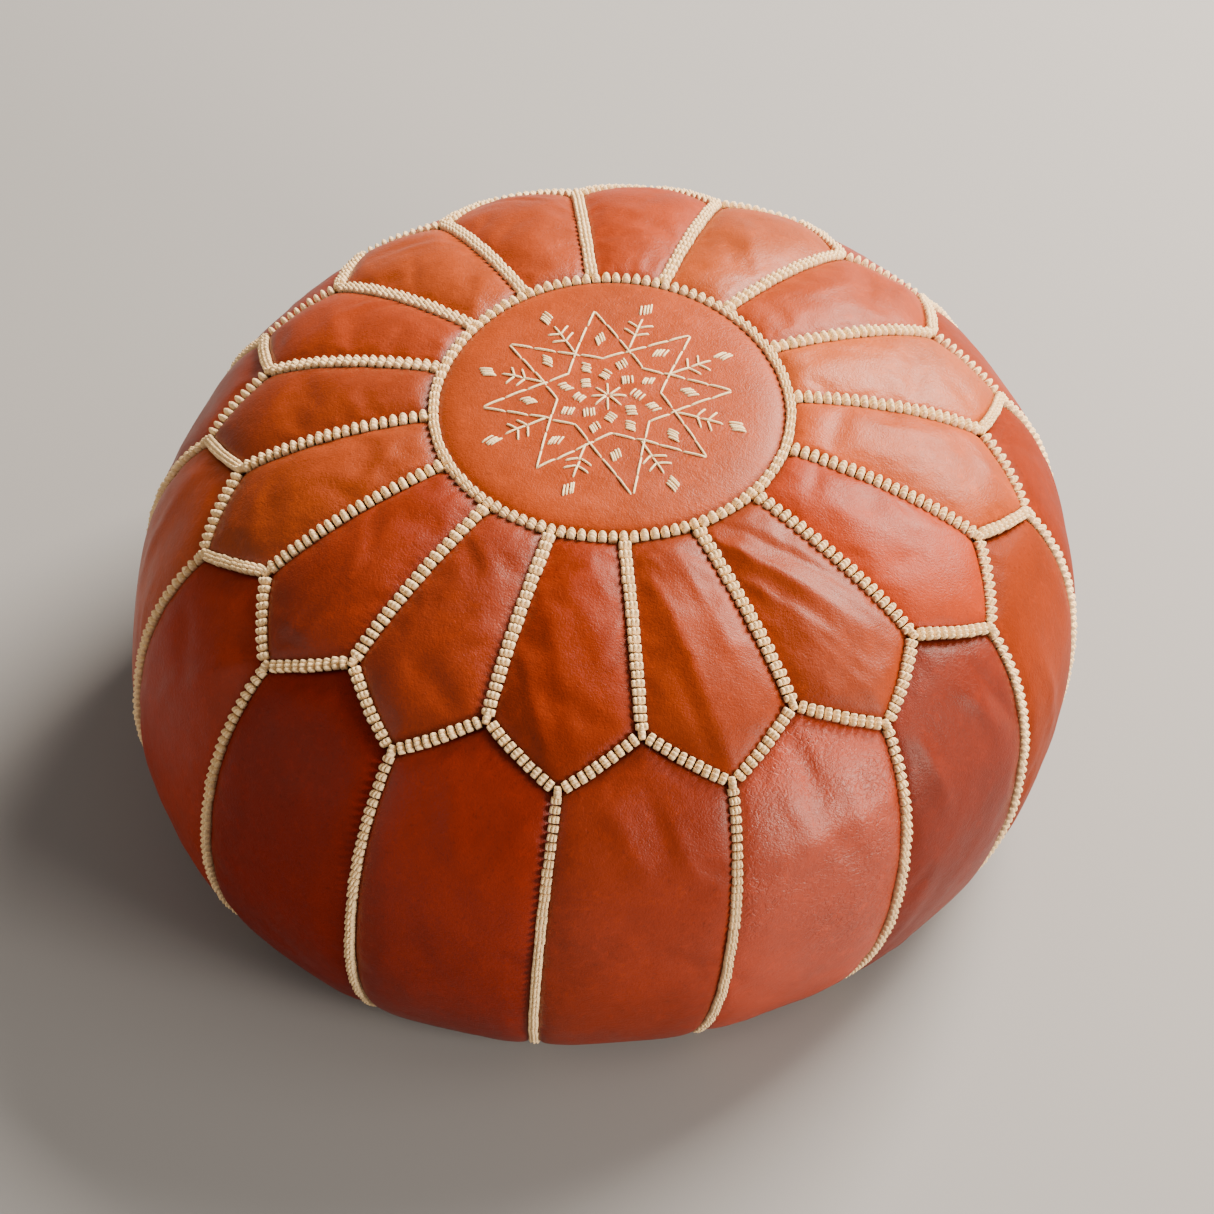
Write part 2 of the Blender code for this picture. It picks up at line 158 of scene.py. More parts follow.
# Zip: its size and place are the CAD model's. Each tape runs on under the base braid by
# its tail. A layer of the tape has its inner side, its outer side and half its thickness.
ZIP_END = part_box("zip_tape_back")[1][0]
TAPE_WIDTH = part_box("zip_tape_back")[1][1]
TEETH_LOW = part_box("zip_tape_back")[0][2]
TEETH_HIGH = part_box("zip_tape_back")[1][2]
ZIP_WINDOW = 0.007
ZIP_DIP = 0.0040
TAPE_TAIL = 0.0045
TAPE_INNER = 0.0018
TAPE_LAYERS = ((0.0022, TAPE_WIDTH, 0.00025), (TAPE_INNER, 0.0034, 0.00055))
TOOTH_PITCH = 0.0023
TOOTH_HALF = 0.00055
TOOTH_INNER = -0.0005
TOOTH_OUTER = 0.0026
TEETH_END = 0.006
STOP_END = 0.004
STOP_HALF = 0.0012
STOP_INNER = 0.0004
STOP_OUTER = 0.0030
ZIP_BEVEL = 0.0002
SLIDER_BEVEL = 0.00025

# Camera.
CAMERA_LENS = 128.4
CAMERA_PLACE = (0.0, -1.6855, 1.9120)
CAMERA_TARGET = (0.0, -0.0092, 0.1146)
CAMERA_ROLL = math.radians(1.045)

# Room. Each light has its place, width, power and colour, and faces the body's middle.
LIGHTS = {
    "window": ((1.5, 1.5, 1.8), 1.4, 330, (1.0, 0.86, 0.71)),
    "side_window": ((2.1, -1.5, 0.9), 0.9, 90, (1.0, 0.86, 0.71)),
    "ceiling": ((1.55, -0.45, 1.95), 0.9, 10, (1.0, 0.88, 0.74)),
    "left_wall": ((-1.9, -0.9, 0.8), 1.4, 11, (1.0, 0.84, 0.68)),
}
BODY_MIDDLE = (0, 0, 0.15)
ROOM_COLOUR = (1.0, 0.88, 0.76, 1.0)
ROOM_STRENGTH = 0.24
FLOOR_REACH = 6.0
FLOOR_COLOUR = (0.280, 0.290, 0.305)

# Colours, and the shade of each panel: how light it is, how far towards orange and how glossy. Lightness
# and warmth are partly each panel's own tint and partly painted light: some panels are lightened where
# they lie in shade or darkened where the lamps fall strongly, and the side panel at index 9 is lightened
# for its highlight.
TOP_TINTS_AND_PAINTED_LIGHT = (
    (0.80, 0.94, 0.24), (0.94, 1.05, 0.26), (0.84, 0.85, 0.26), (0.70, 0.90, 0.26),
    (0.92, 1.00, 0.28), (0.66, 0.66, 0.24), (0.66, 0.72, 0.24), (0.64, 0.68, 0.12),
    (0.70, 0.82, 0.16), (0.66, 0.86, 0.18), (0.90, 0.72, 0.14), (1.10, 1.05, 0.18),
    (1.15, 1.20, 0.28), (0.88, 0.92, 0.16), (0.95, 1.15, 0.24), (0.84, 0.84, 0.18),
)
SIDE_TINTS_AND_PAINTED_LIGHT = (
    (0.95, 1.30, 0.24), (1.10, 1.40, 0.24), (0.95, 1.20, 0.24), (1.10, 1.40, 0.24),
    (1.50, 1.70, 0.26), (1.15, 0.95, 0.14), (0.80, 0.65, 0.10), (0.90, 0.80, 0.22),
    (1.00, 1.15, 0.26), (1.42, 1.20, 0.60), (0.62, 1.05, 0.22), (0.80, 1.55, 0.04),
    (0.74, 1.30, 0.03), (0.85, 1.40, 0.08), (0.90, 1.20, 0.20), (1.05, 1.40, 0.24),
)
COGNAC = (0.33, 0.048, 0.0050)
RED_BROWN = (0.245, 0.0200, 0.0024)
CREAM = (1.00, 0.76, 0.44)
THREAD_CREAM = (1.00, 0.80, 0.48)
BRASS = (0.80, 0.56, 0.24)
ZIP_BROWN = (0.16, 0.05, 0.02)
TUFT_SHADOW = (0.50, 0.46, 0.40, 1.0)
TUFT_LIGHT = (0.86, 0.83, 0.77, 1.0)


# ---------------------------------------------------------------------- outline

def outline():
    """Radius and height of points from the crown's middle to the base's middle."""
    turn = np.linspace(0, math.pi / 2, 600)
    sine = np.sin(turn)
    cosine = np.maximum(np.cos(turn), 0)
    upper_r = WIDEST_RADIUS * sine ** (2 / UPPER_POWERS[0])
    upper_z = WIDEST_HEIGHT + (HEIGHT - WIDEST_HEIGHT) * cosine ** (2 / UPPER_POWERS[1])
    lower_r = FOOT_RADIUS + (WIDEST_RADIUS - FOOT_RADIUS) * cosine ** (2 / LOWER_POWER)
    lower_z = WIDEST_HEIGHT * (1 - sine ** (2 / LOWER_POWER))
    flat_r = np.linspace(FOOT_RADIUS, 0, 60)
    radius = np.concatenate([upper_r, lower_r[1:], flat_r[1:]])
    height = np.concatenate([upper_z, lower_z[1:], np.zeros(59)])
    return radius, height


OUTLINE_R, OUTLINE_Z = outline()
OUTLINE_RUN = np.concatenate(
    [[0], np.cumsum(np.hypot(np.diff(OUTLINE_R), np.diff(OUTLINE_Z)))]
)


def run_at_radius(radius):
    """The run at which the upper outline has this radius."""
    widest = int(np.argmax(OUTLINE_R))
    return np.interp(radius, OUTLINE_R[:widest], OUTLINE_RUN[:widest])


RING_RUN = float(run_at_radius(MEDALLION_RADIUS))
PEAK_RUN = float(run_at_radius(PEAK_RADIUS))
VALLEY_RUN = float(run_at_radius(VALLEY_RADIUS))
BASE_RUN = float(OUTLINE_RUN[-1]) - BASE_RADIUS
FOOT_RUN = float(OUTLINE_RUN[-1]) - FOOT_RADIUS
ZIGZAG_SLOPE = math.atan2(VALLEY_RUN - PEAK_RUN, PITCH / 2 * (PEAK_RADIUS + VALLEY_RADIUS) / 2)


def radius_at(run):
    return np.interp(run, OUTLINE_RUN, OUTLINE_R)


def skin(angle, run, lift):
    """Points on the settled body. The arguments are arrays of one shape."""
    step = 0.003
    behind = np.clip(run - step, 0, OUTLINE_RUN[-1])
    ahead = np.clip(run + step, 0, OUTLINE_RUN[-1])
    slope_r = radius_at(ahead) - radius_at(behind)
    slope_z = np.interp(ahead, OUTLINE_RUN, OUTLINE_Z) - np.interp(behind, OUTLINE_RUN, OUTLINE_Z)
    length = np.hypot(slope_r, slope_z)
    radius = radius_at(run) - lift * slope_z / length
    height = np.interp(run, OUTLINE_RUN, OUTLINE_Z) + lift * slope_r / length
    low = np.clip((HEIGHT - height) / HEIGHT, 0, 1)
    lean = LEAN_TOP * np.cos(angle) + OVAL_TOP * np.cos(2 * angle)
    lean = lean + THREE_SIDED_TOP * np.sin(3 * angle)
    lean_low = LEAN_LOW[0] * np.cos(angle) + LEAN_LOW[1] * np.sin(angle)
    lean_low = lean_low + OVAL_LOW[0] * np.cos(2 * angle) + OVAL_LOW[1] * np.sin(2 * angle)
    fade = np.clip((BASE_RUN - run) / (BASE_RUN - FOOT_RUN), 0, 1)
    radius = radius * (1 + fade * (lean + lean_low * low))
    x = radius * np.cos(angle) + TOP_SHIFT[0] * (1 - low) * fade
    y = radius * np.sin(angle) + TOP_SHIFT[1] * (1 - low) * fade
    return np.stack([x, y, height], axis=-1)


def twist(angle, run):
    """How far the side seams have turned from their valleys at this run."""
    share = np.clip((run - VALLEY_RUN) / (FOOT_RUN - VALLEY_RUN), 0, 1)
    sway = SIDE_LEAN_SWAY[0] * np.cos(angle) + SIDE_LEAN_SWAY[1] * np.sin(angle)
    return (SIDE_LEAN + sway) * share


def seam_angle(index):
    return FIRST_SEAM_ANGLE + PITCH * index


def zigzag_run(offset):
    """Run of the zigzag seam at this offset from a radial seam, in pitches."""
    return PEAK_RUN + (VALLEY_RUN - PEAK_RUN) * 2 * np.abs(offset)


# ------------------------------------------------------------------- mesh tools

def grid_faces(columns, rows, wrap=False):
    """Faces of a grid of points stored column by column."""
    faces = []
    for column in range(columns if wrap else columns - 1):
        after = (column + 1) % columns
        for row in range(rows - 1):
            left = column * rows + row
            right = after * rows + row
            faces.append((left, left + 1, right + 1, right))
    return faces


def make_mesh(name, points, faces):
    mesh = bpy.data.meshes.new(name)
    mesh.from_pydata(np.asarray(points).reshape(-1, 3).tolist(), [], faces)
    return mesh


def add_piece(name, points, faces, surface, body="root"):
    mesh = make_mesh(name, points, faces)
    mesh.materials.append(surface)
    mesh.shade_smooth()
    piece = bpy.data.objects.new(name, mesh)
    bpy.context.scene.collection.objects.link(piece)
    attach(piece, body)
    return piece


def paint(mesh, name, values):
    layer = mesh.attributes.new(name, "FLOAT", "POINT")
    layer.data.foreach_set("value", np.asarray(values, dtype=np.float32).ravel())


class Batch:
    """Collects the points and faces of many small shapes for one piece."""

    def __init__(self):
        self.points = []
        self.faces = []
        self.count = 0

    def add(self, points, faces):
        self.points.append(points)
        self.faces += [tuple(self.count + corner for corner in face) for face in faces]
        self.count += len(points)

    def piece(self, name, surface, slot, body="root"):
        return add_piece(name, np.concatenate(self.points), self.faces, surface, body)


# ---------------------------------------------------------------------- leather

class Panel:
    """One piece of leather. Its points change in the cloth run. Edge is 1 at its seams
    and 0 further in, and its cut is the width, length and area of its flat leather."""

    def __init__(self, name, node, surface, points, faces, edge, cut):
        self.name = name
        self.node = node
        self.surface = surface
        self.points = points.reshape(-1, 3)
        self.faces = faces
        self.edge = edge.ravel()
        self.cut = cut


def roll_in(distance):
    """How far the leather has turned in at this distance from a seam, from 1 to 0."""
    return np.exp(-((np.maximum(distance, 0) / DIP_REACH) ** 1.25))


def hollow(distance):
    """The wide, shallow dip beside a seam, from 1 to 0."""
    return np.exp(-((np.maximum(distance, 0) / HOLLOW_REACH) ** 2))


def crowded(count):
    """Shares from 0 to 1 that lie closer together near both ends."""
    even = np.linspace(0, 1, count)
    return 0.45 * even + 0.55 * (1 - np.cos(math.pi * even)) / 2


def fold_lift(folds, x, y):
    """Lift from folds, each a line from one place to another with its reach and height.
    x and y are distances across the panel and along it."""
    lift = np.zeros_like(x)
    for (start_x, start_y), (end_x, end_y), reach, height in folds:
        step_x = end_x - start_x
        step_y = end_y - start_y
        share = ((x - start_x) * step_x + (y - start_y) * step_y) / (step_x**2 + step_y**2)
        share = np.clip(share, 0, 1)
        away = np.hypot(x - start_x - share * step_x, y - start_y - share * step_y)
        lift += height * np.exp(-((away / reach) ** 1.6)) * (0.35 + 0.65 * np.sin(math.pi * share))
    return lift


def placed_folds(folds, width, length):
    """Folds given in shares of a panel, changed to distances."""
    return [
        (
            ((start[0] - 0.5) * width, start[1] * length),
            ((end[0] - 0.5) * width, end[1] * length),
            reach,
            height,
        )
        for start, end, reach, height in folds
    ]


def pleats(dice, width, count):
    """Short folds that run away from the panel's first seam."""
    folds = []
    for place in range(count):
        x = (place + dice.uniform(0.2, 0.8)) / count * width - width / 2
        length = dice.uniform(*PLEAT_LENGTH)
        lean = dice.uniform(-0.25, 0.25) * length
        folds.append(((x, 0.002), (x * 1.2 + lean, length), 0.0022, dice.uniform(*PLEAT_HEIGHT)))
    return folds


def crinkles(dice, width, length, count):
    """Slight creases that start near the long sides and run inwards."""
    folds = []
    for _ in range(count):
        side = dice.choice((-1, 1))
        start_x = side * dice.uniform(0.15, 0.42) * width
        start_y = dice.uniform(0.12, 0.85) * length
        reach = dice.uniform(0.0022, 0.0055)
        end_x = start_x - side * dice.uniform(0.12, 0.45) * width
        end_y = start_y + dice.uniform(-0.22, 0.22) * length
        height = dice.choice((-1, 1)) * dice.uniform(*CRINKLE_HEIGHT)
        folds.append(((start_x, start_y), (end_x, end_y), reach, height))
    return folds


def grid_area(points):
    """Area of a grid of points, by its diagonals."""
    rising = points[1:, 1:] - points[:-1, :-1]
    falling = points[1:, :-1] - points[:-1, 1:]
    return float(np.linalg.norm(np.cross(rising, falling), axis=-1).sum() / 2)


def panel_shape(middle, start_run, end_run, grid, bulge, folds):
    """Points of a panel, how near they are to its seams, and its flat area."""
    u, v = np.meshgrid(crowded(grid[0]), crowded(grid[1]), indexing="ij")
    offset = u - 0.5
    start = start_run(offset)
    end = end_run(offset)
    run = start + (end - start) * v
    radius = radius_at(run)
    sides = np.minimum(u, 1 - u) * PITCH * radius
    ends = np.minimum(run - start, end - run) * math.cos(ZIGZAG_SLOPE)
    turned = 1 - (1 - roll_in(sides)) * (1 - roll_in(ends))
    sunk = 1 - (1 - hollow(sides)) * (1 - hollow(ends))
    inside = (1 - turned) ** 2
    lift = -SEAM_DIP * turned - HOLLOW_DIP * sunk + bulge * (1 - (2 * offset) ** 2)
    lift = lift + inside * fold_lift(folds, offset * PITCH * radius, run - start.min())
    angle = middle + PITCH * offset - 2 * offset * SEAM_GAP / radius
    angle = angle + twist(angle, run)
    edge = np.exp(-((np.minimum(sides, ends) / SEAM_SHADE_REACH) ** 4))
    return skin(angle, run, lift), edge, grid_area(skin(angle, run, 0 * lift))


TOP_FOLDS = {
    4: [((0.5, 0.25), (0.45, 0.85), 0.0060, 0.0012)],
    5: [
        ((0.55, 0.30), (0.40, 0.95), 0.0035, 0.0016),
        ((0.72, 0.25), (0.58, 0.90), 0.0026, 0.0011),
        ((0.40, 0.35), (0.22, 0.80), 0.0026, 0.0010),
        ((0.62, 0.55), (0.50, 1.00), 0.0020, -0.0010),
    ],
    7: [
        ((0.25, 0.30), (0.62, 0.85), 0.0060, 0.0014),
        ((0.10, 0.52), (0.45, 0.95), 0.0045, 0.0014),
        ((0.50, 0.35), (0.78, 0.68), 0.0040, -0.0008),
    ],
    8: [
        ((0.30, 0.12), (0.48, 0.85), 0.0055, 0.0020),
        ((0.55, 0.10), (0.78, 0.60), 0.0035, 0.0013),
        ((0.28, 0.60), (0.40, 0.98), 0.0035, -0.0012),
    ],
    9: [
        ((0.15, 0.02), (0.76, 0.66), 0.0046, 0.0032),
        ((0.36, 0.02), (0.90, 0.52), 0.0036, -0.0022),
        ((0.10, 0.22), (0.66, 0.86), 0.0034, 0.0018),
        ((0.20, 0.42), (0.56, 0.96), 0.0028, 0.0013),
        ((0.46, 0.46), (0.80, 0.86), 0.0022, 0.0012),
        ((0.60, 0.40), (0.90, 0.72), 0.0020, -0.0010),
    ],
    11: [((0.3, 0.3), (0.7, 0.8), 0.0060, 0.0010), ((0.6, 0.25), (0.75, 0.6), 0.0030, 0.0008)],
    13: [
        ((0.35, 0.55), (0.75, 0.75), 0.0050, -0.0020),
        ((0.55, 0.30), (0.60, 0.60), 0.0045, 0.0014),
        ((0.30, 0.75), (0.62, 0.90), 0.0045, 0.0016),
    ],
    14: [((0.30, 0.30), (0.70, 0.60), 0.0050, 0.0013)],
}

SIDE_FOLDS = {
    4: [((0.30, 0.10), (0.60, 0.30), 0.0080, 0.0025)],
    5: [
        ((0.85, 0.10), (0.55, 0.24), 0.0080, 0.0032),
        ((0.25, 0.16), (0.50, 0.22), 0.0070, -0.0020),
    ],
    7: [((0.40, 0.10), (0.52, 0.24), 0.0060, 0.0012)],
    8: [
        ((0.30, 0.10), (0.55, 0.26), 0.0055, 0.0020),
        ((0.48, 0.08), (0.66, 0.22), 0.0040, -0.0012),
        ((0.62, 0.14), (0.78, 0.26), 0.0045, 0.0012),
    ],
    9: [
        ((0.42, 0.05), (0.50, 0.17), 0.0036, -0.0028),
        ((0.15, 0.24), (0.85, 0.21), 0.0060, 0.0020),
        ((0.20, 0.30), (0.85, 0.27), 0.0035, -0.0012),
        ((0.30, 0.12), (0.45, 0.24), 0.0040, 0.0014),
        ((0.62, 0.12), (0.75, 0.30), 0.0045, 0.0014),
        ((0.25, 0.46), (0.75, 0.42), 0.0080, 0.0014),
    ],
    10: [
        ((0.18, 0.14), (0.30, 0.30), 0.0045, 0.0022),
        ((0.55, 0.12), (0.70, 0.20), 0.0050, 0.0018),
        ((0.68, 0.10), (0.88, 0.26), 0.0045, -0.0016),
    ],
    11: [((0.30, 0.20), (0.42, 0.42), 0.0070, 0.0020)],
}


def top_panels(surfaces):
    length = VALLEY_RUN - RING_RUN
    width = PITCH * PEAK_RADIUS
    slope = math.cos(ZIGZAG_SLOPE)
    panels = []
    for index in range(SEAM_COUNT):
        dice = random.Random(f"top {index}")
        folds = placed_folds(TOP_FOLDS.get(index, []), width * 0.8, length)
        folds += pleats(dice, PITCH * MEDALLION_RADIUS, TOP_PLEATS)
        folds += crinkles(dice, width * 0.8, length, TOP_CRINKLES)
        points, edge, area = panel_shape(
            seam_angle(index + 0.5),
            lambda offset: RING_RUN + SEAM_GAP + 0 * offset,
            lambda offset: zigzag_run(0.5 - np.abs(offset)) - SEAM_GAP / slope,
            TOP_GRID,
            TOP_BULGE,
            folds,
        )
        names = (f"top_leather_{index + 1:02d}", f"top_panel_{index + 1:02d}")
        cut = (width, length, area)
        panels.append(Panel(*names, surfaces[index], points, grid_faces(*TOP_GRID), edge, cut))
    return panels


def side_panels(surfaces):
    length = BASE_RUN - PEAK_RUN
    width = PITCH * WIDEST_RADIUS
    slope = math.cos(ZIGZAG_SLOPE)
    panels = []
    for index in range(SEAM_COUNT):
        dice = random.Random(f"side {index}")
        folds = placed_folds(SIDE_FOLDS.get(index, []), width, length)
        folds += crinkles(dice, width, length, SIDE_CRINKLES)
        points, edge, area = panel_shape(
            seam_angle(index),
            lambda offset: zigzag_run(offset) + SEAM_GAP / slope,
            lambda offset: BASE_RUN - SEAM_GAP + 0 * offset,
            SIDE_GRID,
            SIDE_BULGE,
            folds,
        )
        names = (f"side_leather_{index + 1:02d}", f"side_panel_{index + 1:02d}")
        cut = (width, length, area)
        panels.append(Panel(*names, surfaces[index], points, grid_faces(*SIDE_GRID), edge, cut))
    return panels


def medallion_lift(angle, run):
    """Lift of the medallion's leather: raised in the middle and faintly creased."""
    away = RING_RUN - SEAM_GAP - run
    creases = crinkles(random.Random("medallion"), 0.16, 0.16, MEDALLION_CRINKLES)
    creased = fold_lift(creases, run * np.cos(angle), run * np.sin(angle) + 0.08)
    inside = (1 - roll_in(away)) ** 2
    return 0.0012 - SEAM_DIP * roll_in(away) - HOLLOW_DIP * hollow(away) + 0.5 * inside * creased


def medallion_panel(surface):
    sides, rows = MEDALLION_GRID
    rim = RING_RUN - SEAM_GAP
    share = 1 - (1 - np.linspace(0.03, 1, rows)) ** 1.25
    run = np.tile(rim * share, (sides, 1))
    angle = np.tile(np.linspace(0, 2 * math.pi, sides, endpoint=False)[:, None], (1, rows))
    faces = grid_faces(sides, rows, wrap=True)
    faces.append(tuple(side * rows for side in range(sides)))
    edge = np.exp(-(((rim - run) / SEAM_SHADE_REACH) ** 4))
    cut = (2 * MEDALLION_RADIUS, 2 * MEDALLION_RADIUS, math.pi * MEDALLION_RADIUS**2)
    names = ("medallion_leather", "medallion")
    return Panel(*names, surface, skin(angle, run, medallion_lift(angle, run)), faces, edge, cut)


def hold_seams(sheet, edge):
    """Pin the cloth at its seams, less and less further in."""
    held = sheet.vertex_groups.new(name="held")
    for level in range(1, 11):
        members = np.nonzero(np.ceil(edge * 10) == level)[0].tolist()
        if members:
            held.add(members, min(level / 6, 1.0), "REPLACE")


def add_cloth(sheet):
    """Stiff cloth with the stuffing's pressure behind it."""
    cloth = sheet.modifiers.new("Cloth", "CLOTH")
    cloth.settings.quality = 6
    cloth.settings.mass = 0.3
    cloth.settings.tension_stiffness = 60
    cloth.settings.compression_stiffness = 60
    cloth.settings.shear_stiffness = 30
    cloth.settings.bending_stiffness = 3.0
    cloth.settings.air_damping = 2
    cloth.settings.use_pressure = True
    cloth.settings.uniform_pressure_force = CLOTH_PRESSURE
    cloth.settings.shrink_min = -CLOTH_GROWTH
    cloth.settings.effector_weights.gravity = 0
    cloth.settings.vertex_group_mass = "held"
    cloth.point_cache.frame_end = CLOTH_FRAMES


def settle(panels):
    """Run cloth over all panels at once, with their seams held, so that the stuffing
    pushes the leather out and its spare length wrinkles."""
    batch = Batch()
    for panel in panels:
        batch.add(panel.points, panel.faces)
    start = np.concatenate(batch.points)
    sheet = bpy.data.objects.new("settling", make_mesh("settling", start, batch.faces))
    bpy.context.scene.collection.objects.link(sheet)
    hold_seams(sheet, np.concatenate([panel.edge for panel in panels]))
    add_cloth(sheet)
    for step in range(1, CLOTH_FRAMES + 1):
        bpy.context.scene.frame_set(step)
    found = np.empty(3 * len(start), dtype=np.float32)
    settled = sheet.evaluated_get(bpy.context.evaluated_depsgraph_get())
    settled.data.vertices.foreach_get("co", found)
    move = found.reshape(-1, 3) - start
    far = np.linalg.norm(move, axis=1, keepdims=True)
    move *= CLOTH_REACH / (CLOTH_REACH + far)
    first = 0
    for panel in panels:
        count = len(panel.points)
        panel.points = panel.points + move[first : first + count]
        first += count
    bpy.data.objects.remove(sheet)
    bpy.context.scene.frame_set(1)


def leather_pieces(panels):
    """The leather as closed sheets, none of it below the floor."""
    for panel in panels:
        panel.points[:, 2] = np.maximum(panel.points[:, 2], FLOOR_GAP)
        piece = add_piece(panel.name, panel.points, panel.faces, panel.surface)
        # The seam mask paints shade onto the leather in the tuck beside the braids.
        paint(piece.data, "seam", panel.edge)
        smooth = piece.modifiers.new("Smooth", "SUBSURF")
        smooth.levels = smooth.render_levels = 1
        solid = piece.modifiers.new("Thickness", "SOLIDIFY")
        solid.thickness = LEATHER
        solid.offset = -1
        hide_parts(panel.node)


def base_panel(side, surface):
    """Half of the base, flat on the floor and turned up at the braid and the zip."""
    columns, rows = BASE_GRID
    arc_radius = BASE_RADIUS - SEAM_GAP
    corner = math.asin(ZIP_WINDOW * 1.6 / arc_radius)
    u, v = np.meshgrid(crowded(columns), crowded(rows), indexing="ij")
    angle = math.pi - corner - (math.pi - 2 * corner) * u
    zip_x = arc_radius * math.cos(corner) * (2 * u - 1)
    x = zip_x + (arc_radius * np.cos(angle) - zip_x) * v
    y = ZIP_WINDOW + (arc_radius * np.sin(angle) - ZIP_WINDOW) * v
    from_arc = arc_radius - np.hypot(x, y)
    from_zip = y - ZIP_WINDOW
    z = np.maximum(SEAM_DIP * roll_in(from_arc), ZIP_DIP * roll_in(from_zip))
    dice = random.Random(f"base {side}")
    folds = crinkles(dice, 1.6 * BASE_RADIUS, BASE_RADIUS, BASE_CRINKLES)
    z = z + 0.5 * np.abs(fold_lift(folds, x, y))
    edge = np.exp(-((np.minimum(from_arc, from_zip) / SEAM_SHADE_REACH) ** 4))
    faces = grid_faces(columns, rows)
    if side < 0:
        faces = [tuple(reversed(face)) for face in faces]
    name = "back" if side > 0 else "front"
    points = np.stack([x, side * y, z], axis=-1)
    names = (f"base_leather_{name}", f"base_panel_{name}")
    cut = (2 * BASE_RADIUS, BASE_RADIUS, grid_area(points))
    return Panel(*names, surface, points, faces, edge, cut)


def stuffing_piece(surface):
    """The stuffing inside: a lumpy crowned body just under the leather."""
    sides, rows = STUFFING_GRID
    dice = random.Random("stuffing")
    run = np.tile(np.linspace(0.01, BASE_RUN, rows), (sides, 1))
    angle = np.tile(np.linspace(0, 2 * math.pi, sides, endpoint=False)[:, None], (1, rows))
    lumps = np.zeros_like(run)
    for _ in range(LUMP_COUNT):
        turns = dice.randint(2, 9)
        waves = dice.uniform(8, 40)
        shift = dice.uniform(0, 2 * math.pi)
        lumps += np.sin(turns * angle + waves * run + shift) / LUMP_COUNT
    points = skin(angle, run, STUFFING_LIFT + LUMP_HEIGHT * lumps)
    points[..., 2] = np.maximum(points[..., 2], STUFFING_FLOOR + LOW_LUMP_HEIGHT * lumps)
    faces = grid_faces(sides, rows, wrap=True)
    faces.append(tuple(side * rows for side in range(sides)))
    faces.append(tuple(side * rows + rows - 1 for side in reversed(range(sides))))
    piece = add_piece("stuffing", points, faces, surface)
    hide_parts("filling")


# ----------------------------------------------------------------------- braids

def knot(width, length, height, stagger):
    """One knot of a braid: three cords side by side, pulled in at both ends. It stands
    on z = 0, with x across the seam and y along it. Stagger moves the outer cords on."""
    steps, rows = KNOT_GRID
    inner = (1 - np.cos(np.linspace(0, math.pi, steps + 1))) / 2
    place = np.concatenate([[0.0], inner[1:], 1 + inner[1:], 2 + inner[1:]])
    cord = np.minimum(place.astype(int), 2)
    across = place / 1.5 - 1
    local = 2 * (place - cord) - 1
    crown = np.sqrt(1 - (CORD_GROOVE * local) ** 2)
    crown = crown * np.where(cord == 1, 1.0, OUTER_CORD_HEIGHT)
    crown[0] = crown[-1] = 0.0
    along = np.sin(np.linspace(-math.pi / 2, math.pi / 2, rows))
    pulled = 1 - OUTER_CORD_SHORTENING * np.abs(across) ** 3
    x, y = np.meshgrid(across, along, indexing="ij")
    z = crown[:, None] * np.sqrt(1 - KNOT_END_FALL * np.abs(y) ** 2.0)
    z[:, 0] = z[:, -1] = 0.0
    y = y * pulled[:, None] + stagger * (np.abs(x) ** 1.5)
    points = np.stack([x * width / 2, y * length / 2, z * height], axis=-1)
    columns = len(place)
    faces = [tuple(reversed(face)) for face in grid_faces(columns, rows)]
    rim = list(range(rows))
    rim += [column * rows + rows - 1 for column in range(1, columns)]
    rim += [(columns - 1) * rows + row for row in range(rows - 2, -1, -1)]
    rim += [column * rows for column in range(columns - 2, 0, -1)]
    faces.append(tuple(rim))
    return points.reshape(-1, 3), faces


def along_seam(angle, run, spacing):
    """Places, directions, lengths and shares of the knots along one seam."""
    here = skin(angle, run, np.zeros_like(run))
    out = skin(angle, run, np.full_like(run, 0.001)) - here
    length = np.concatenate([[0], np.cumsum(np.linalg.norm(np.diff(here, axis=0), axis=1))])
    total = length[-1]
    pitch = spacing[0] + (spacing[1] - spacing[0]) * length / total
    counted = np.concatenate([[0], np.cumsum(np.diff(length) / ((pitch[1:] + pitch[:-1]) / 2))])
    count = max(int(round(counted[-1])), 1)
    marks = (np.arange(count) + 0.5) * counted[-1] / count
    steps = np.interp(marks, counted, length)
    sizes = np.interp(marks, counted, pitch) * counted[-1] / count

    def at(distance, values):
        return np.stack([np.interp(distance, length, values[:, axis]) for axis in range(3)], axis=-1)

    along = at(steps + 0.001, here) - at(steps - 0.001, here)
    along /= np.linalg.norm(along, axis=1, keepdims=True)
    normal = at(steps, out)
    normal -= along * np.sum(normal * along, axis=1, keepdims=True)
    normal /= np.linalg.norm(normal, axis=1, keepdims=True)
    return at(steps, here), along, np.cross(along, normal), normal, sizes, steps / total


def pressed_under(share):
    """How far a side braid is pressed in, most where it goes under the body."""
    return PRESSED_DEPTH * min(max(0.25, (share - 0.35) / 0.30), 1.0)


